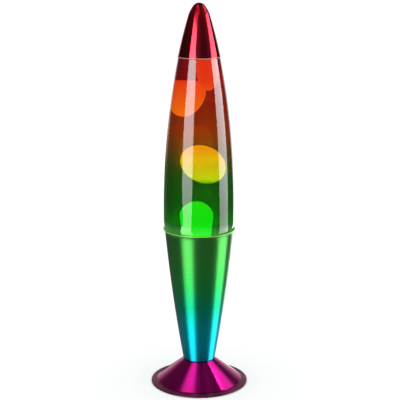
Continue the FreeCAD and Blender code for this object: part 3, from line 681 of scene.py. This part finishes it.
# Soft boxes that gloss shows: the width of the soft edge in degrees, and from the floor up
# the rise, left side and right side in degrees, and strength
STRONGEST = 10.0
SOFT_BOXES = [
    (0.7, [
        (-60, -62, -20, 0.0), (-44, -62, -20, 1.3), (-38, -65, -21, 1.55), (-34, -69, -24, 2.0),
        (-29, -69, -28, 2.6), (-24, -67, -27, 2.9), (-14, -54, -25, 1.9), (-8, -57, -22, 2.8),
        (1, -58, -21, 3.6), (12, -56, -17, 4.6), (17, -55, -18, 5.0), (20, -54, -22, 5.0),
        (25.6, -52, -19, 5.0), (26.6, -52, -16, 0.8), (40, -54, -5, 0.8), (46, -56, 5, 0.4),
        (70, -56, 10, 0.3), (76, -56, 10, 0.0)]),
    (0.7, [
        (-60, 75, 120, 0.0), (-44, 75, 120, 1.3), (-34, 74, 118, 2.0), (-24, 73, 116, 2.9),
        (-14, 70, 107, 1.9), (-8, 69, 107, 2.8), (1, 70, 112, 3.6), (12, 70, 115, 4.6),
        (15, 75, 117, 5.0), (19, 79, 119, 5.0), (24, 80, 120, 5.0), (26, 80, 120, 0.6),
        (40, 80, 120, 0.3), (44, 80, 120, 0.0)]),
    (5, [
        (-60, 150, 190, 0.0), (-44, 150, 190, 1.5), (-24, 150, 190, 2.2), (-14, 150, 190, 1.9),
        (-6, 146, 170, 0.36), (10, 146, 170, 0.36), (14, 146, 190, 0.4), (33, 142, 190, 0.4),
        (38, 142, 190, 0.0)]),
    (5, [
        (-10, -170, -146, 0.0), (-6, -170, -146, 0.36), (10, -170, -146, 0.36), (14, -190, -146, 0.4),
        (33, -190, -142, 0.4), (38, -190, -142, 0.0)]),
    (5, [(-10, 154, 170, 0.0), (-6, 154, 170, 0.3), (14, 154, 170, 0.3), (20, 154, 170, 0.0)]),
    (5, [(-10, -170, -154, 0.0), (-6, -170, -154, 0.3), (14, -170, -154, 0.3), (20, -170, -154, 0.0)]),
]
# Strips of light overhead: left side and right side as parts of their height, front end and back end as
# parts of their distance, with the soft edge after each, and strength
OVERHEAD = [
    (-0.50, 0.10, -0.15, 0.11, -0.35, 0.03, 0.15, 0.03, 1.4),
    (0.650, 0.01, 0.67, 0.01, 0.05, 0.03, 0.47, 0.12, 18.0),
    (0.65, 0.05, 1.60, 0.05, 0.05, 0.03, 0.47, 0.12, 1.3),
]
# Upward part of a direction where the strips start to show and where they show in full
OVERHEAD_FROM, OVERHEAD_FULL = 0.42, 0.52
# Light that gloss shows between the boxes: rise in degrees, strength
BETWEEN = [
    (-90, 0.1), (-60, 0.1), (-48, 0.36), (-39, 0.36), (-30, 0.28), (-20, 0.2), (-16, 0.04), (8, 0.03),
    (15, 0.06), (35, 0.12), (90, 0.15),
]
# Faint light between the two front boxes: its sides and reach in degrees, and the upward part of a
# direction where it starts and where it shows in full
GLOW_LEFT, GLOW_RIGHT = -20, 78
GLOW_REACH = 40
GLOW_FROM, GLOW_FULL = 0.1, 0.25
GLOW_STRENGTH = 0.14
# Streaky light that shows through the glass, brighter at both sides of the back, in degrees
BACK_STREAKS = 16.0
BACK_LEAST, BACK_CHANGE = 0.2, 0.4
BACK_SIDES = [(116, 130), (-130, -116)]
BACK_SIDE_STRENGTH = 0.8
SHARP = 0.002


def part_turn(degrees):
    """A turn from the front as a part of the full circle, which starts at the back."""
    return degrees / 360 + 0.5


def part_rise(degrees):
    """A rise as a part of the way from straight down to straight up."""
    return degrees / 180 + 0.5


def soft_box(nodes, turn, rise, soft, table):
    """The light of one soft box, whose sides and strength change with the rise."""
    stops = [(part_rise(up), (part_turn(left), part_turn(right), strength / STRONGEST))
             for up, left, right, strength in table]
    left, right, strength = nodes.add(
        "ShaderNodeSeparateColor", inputs={0: nodes.ramp(rise, stops)}).outputs()
    return nodes.band(turn, left, right, soft / 360) * strength * STRONGEST


def overhead_strip(nodes, side, along, row):
    """The light of one strip overhead."""
    left, left_soft, right, right_soft, front, front_soft, back, back_soft, strength = row
    return (nodes.smooth_step(side, left - left_soft, left + left_soft)
            * (1 - nodes.smooth_step(side, right - right_soft, right + right_soft))
            * nodes.smooth_step(along, front - front_soft, front + front_soft)
            * (1 - nodes.smooth_step(along, back - back_soft, back + back_soft)) * strength)


def glow_between(nodes, turn, up):
    """Faint light between the two front boxes, strongest beside them."""
    beside = (1 - nodes.smooth_step(turn, part_turn(GLOW_LEFT), part_turn(GLOW_LEFT + GLOW_REACH))
              + nodes.smooth_step(turn, part_turn(GLOW_RIGHT - GLOW_REACH), part_turn(GLOW_RIGHT)))
    within = nodes.band(turn, part_turn(GLOW_LEFT), part_turn(GLOW_RIGHT), SHARP)
    return beside * within * nodes.smooth_step(up, GLOW_FROM, GLOW_FULL) * GLOW_STRENGTH


def light_behind(nodes, turn):
    """What glass shows through itself: soft upright streaks with two bright sides."""
    light = nodes.noise_along(turn, BACK_STREAKS, detail=2.0) * BACK_CHANGE + BACK_LEAST
    for left, right in BACK_SIDES:
        light = light + nodes.band(turn, part_turn(left), part_turn(right), SHARP) * BACK_SIDE_STRENGTH
    return light


def light_studio():
    """Even light on everything, with soft boxes that only gloss shows."""
    world = bpy.data.worlds.new("studio")
    bpy.context.scene.world = world
    world.use_nodes = True
    world.cycles.sampling_method = "NONE"
    nodes = Nodes(world.node_tree)
    across, along, up = nodes.parts(nodes.add("ShaderNodeTexCoord", output="Generated"))
    turn = across.math("ARCTAN2", across, along * -1) * (1 / math.tau) + 0.5
    rise = nodes.add("ShaderNodeMath", {"operation": "ARCSINE"}, {0: up}) * (1 / math.pi) + 0.5
    dim = [(part_rise(height), (level, level, level)) for height, level in BETWEEN]
    gloss = glow_between(nodes, turn, up) + nodes.ramp(rise, dim)
    for soft, table in SOFT_BOXES:
        gloss = gloss + soft_box(nodes, turn, rise, soft, table)
    overhead = nodes.smooth_step(up, OVERHEAD_FROM, OVERHEAD_FULL)
    for row in OVERHEAD:
        gloss = gloss + overhead_strip(nodes, across / up, along, row) * overhead
    rays = nodes.add("ShaderNodeLightPath").socket.node.outputs
    level = 1.0
    for kind, seen in (("Is Glossy Ray", gloss), ("Is Transmission Ray", light_behind(nodes, turn)),
                       ("Is Camera Ray", 1.0)):
        ray = Socket(nodes, rays[kind])
        level = level * (1 - ray) + ray * seen
    background = world.node_tree.nodes["Background"]
    nodes.feed(background.inputs["Strength"], level)
    nodes.feed(background.inputs["Color"], WHITE)


# Camera: place in metres, dip below level in degrees, half the picture and the focal length in pixels
CAMERA_PLACE = (0.0009, -1.205, 0.487)
CAMERA_DIP = 13.04
HALF_PICTURE = 200
FOCAL_LENGTH = 1138.4


def place_camera():
    """The photograph's view: in front, a little above the middle, looking down."""
    data = bpy.data.cameras.new("camera")
    camera = bpy.data.objects.new("camera", data)
    bpy.context.scene.collection.objects.link(camera)
    bpy.context.scene.camera = camera
    camera.location = CAMERA_PLACE
    camera.rotation_euler = (math.radians(90 - CAMERA_DIP), 0, 0)
    data.angle = 2 * math.atan(HALF_PICTURE / FOCAL_LENGTH)


place_camera()
dress_nodes()
wet_the_wall()
for node, body, swell in WAX:
    melt(node, body, swell)
make_crown()
make_coil()
make_floor()
light_studio()
bpy.context.scene.view_settings.view_transform = "Standard"
